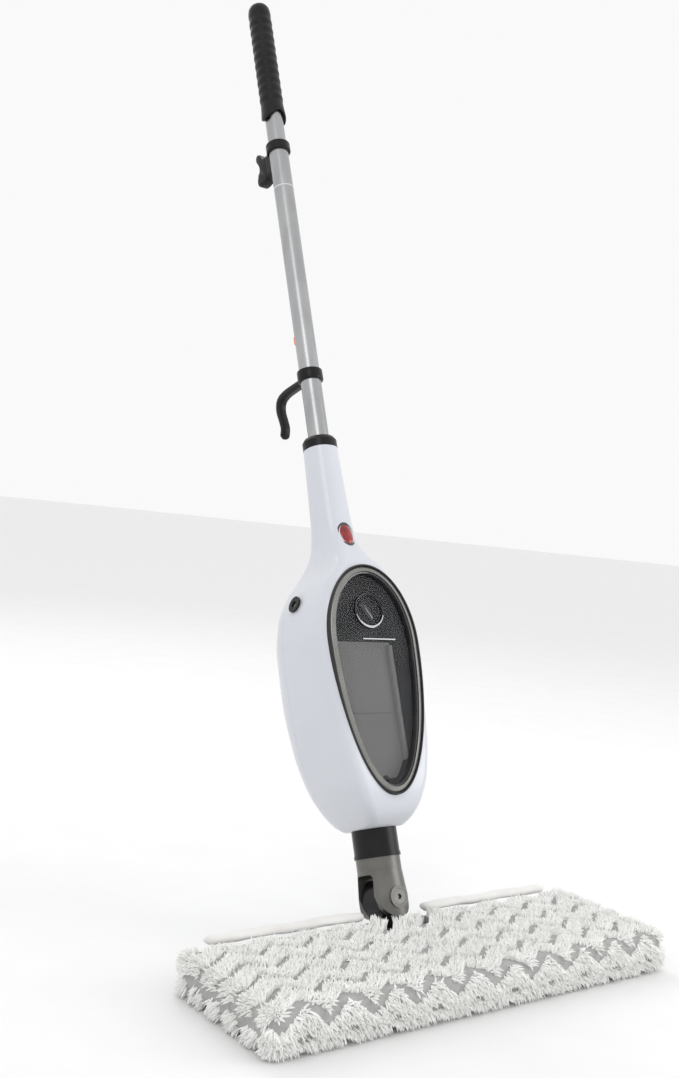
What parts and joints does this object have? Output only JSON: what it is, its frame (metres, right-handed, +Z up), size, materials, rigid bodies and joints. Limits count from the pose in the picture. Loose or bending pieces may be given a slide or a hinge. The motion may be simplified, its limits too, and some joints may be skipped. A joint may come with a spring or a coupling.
{
  "type": "steam mop",
  "caption": "Upright steam mop: sliding pole with grip and cord hooks, egg-shaped housing with front water tank, two-axis neck and a flat pocket pad.",
  "frame": {"origin": "centre of the pad's underside, at floor level", "axes": "+X along the mop head, +Y back towards the user, +Z up"},
  "size_m": [0.524, 0.6287, 1.127],
  "materials": {
    "black_plastic": "satin moulded black",
    "silver_tube": "satin silver",
    "polished_steel": "polished",
    "orange_plastic": "glossy orange",
    "zinc_steel": "plated steel",
    "white_shell": "glossy white",
    "red_lens": "translucent red",
    "black_rubber": "black rubber",
    "smoked_clear": "smoked transparent",
    "grey_tank": "translucent grey",
    "dark_gloss": "glossy charcoal",
    "gunmetal_plastic": "gunmetal paint",
    "nylon": "natural nylon",
    "cast_aluminium": "cast",
    "brass_fitting": "plain brass",
    "plated_bracket": "zinc plated sheet",
    "hose_rubber": "silicone hose",
    "head_plastic": "black glass-filled nylon",
    "pad_pile": "tufted microfibre",
    "pad_binding": "smooth woven hem"
  },
  "bodies": {
    "pole": {"grip": "black_plastic", "handle_tube": "silver_tube", "upper_collar": "black_plastic", "upper_tube": "silver_tube", "joint_ring": "polished_steel", "pole_tube": "silver_tube", "tube_spigot": "silver_tube", "snap_spring": "zinc_steel", "lower_tube": "silver_tube", "lower_hook": "black_plastic", "hook_saddle": "black_plastic", "hook_screw": "zinc_steel", "pump_rod": "zinc_steel", "stop_pin": "zinc_steel", "pump_piston": "nylon", "piston_seal": "black_rubber", "pump_spring": "zinc_steel"},
    "hook": {"upper_hook": "black_plastic"},
    "button": {"snap_button": "orange_plastic"},
    "housing": {"front_housing": "white_shell", "rear_housing": "white_shell", "cover_screws": "zinc_steel", "neck_collar": "black_plastic", "neck_bush": "nylon", "lens_bezel": "dark_gloss", "indicator_lens": "red_lens", "cord_grommet": "black_plastic", "tank_gasket": "black_rubber", "tank_bezel": "silver_tube", "tank_window": "smoked_clear", "tank_shell": "grey_tank", "tank_liner": "grey_tank", "filler_cup": "dark_gloss", "pump_body": "nylon", "pump_cap": "nylon", "boiler": "cast_aluminium", "heater_terminals": "brass_fitting", "thermostat": "cast_aluminium", "thermal_fuse": "nylon", "boiler_bracket": "plated_bracket", "terminal_block": "nylon", "inlet_hose": "hose_rubber", "pump_hose": "hose_rubber", "steam_hose": "hose_rubber", "outlet_collar": "black_plastic", "steam_pipe": "brass_fitting", "yoke": "gunmetal_plastic", "yoke_pin": "zinc_steel", "pin_nut": "zinc_steel"},
    "cap": {"tank_cap": "dark_gloss", "cap_seal": "black_rubber"},
    "knuckle": {"knuckle": "black_plastic"},
    "head": {"head_pin": "zinc_steel", "head_base": "head_plastic", "head_cover": "head_plastic", "steam_manifold": "head_plastic", "head_screws": "zinc_steel", "pad": "pad_pile", "pad_hem": "pad_binding"}
  },
  "joints": [
    {"name": "pump_stroke", "type": "slide", "parent": "pole", "child": "housing", "axis": [0, 0.3795, 0.9252], "range_m": [0, 0.018], "stiffness_N_per_m": 600, "springref_m": -0.01, "deforming": ["pump_spring"]},
    {"name": "cap_turn", "type": "hinge", "parent": "housing", "child": "cap", "pos_m": [0, 0.17942, 0.3487], "axis": [0, -0.9252, 0.3795], "range_deg": [0, 90]},
    {"name": "neck_tilt", "type": "hinge", "parent": "housing", "child": "knuckle", "pos_m": [0, 0.09495, 0.05314], "axis": [0, -0.9252, 0.3795], "range_deg": [-55, 55]},
    {"name": "head_fold", "type": "hinge", "parent": "knuckle", "child": "head", "pos_m": [0, 0.083, 0.024], "axis": [1, 0, 0], "range_deg": [-22.3, 157.7]},
    {"name": "hook_swivel", "type": "hinge", "parent": "pole", "child": "hook", "pos_m": [0, 0.46384, 0.8946], "axis": [0, 0.9252, -0.3795], "range_deg": [0, 180]},
    {"name": "button_press", "type": "slide", "parent": "pole", "child": "button", "axis": [0, -0.9252, 0.3795], "range_m": [0, 0.0045], "stiffness_N_per_m": 1500, "springref_m": -0.002, "deforming": ["snap_spring"]}
  ]
}
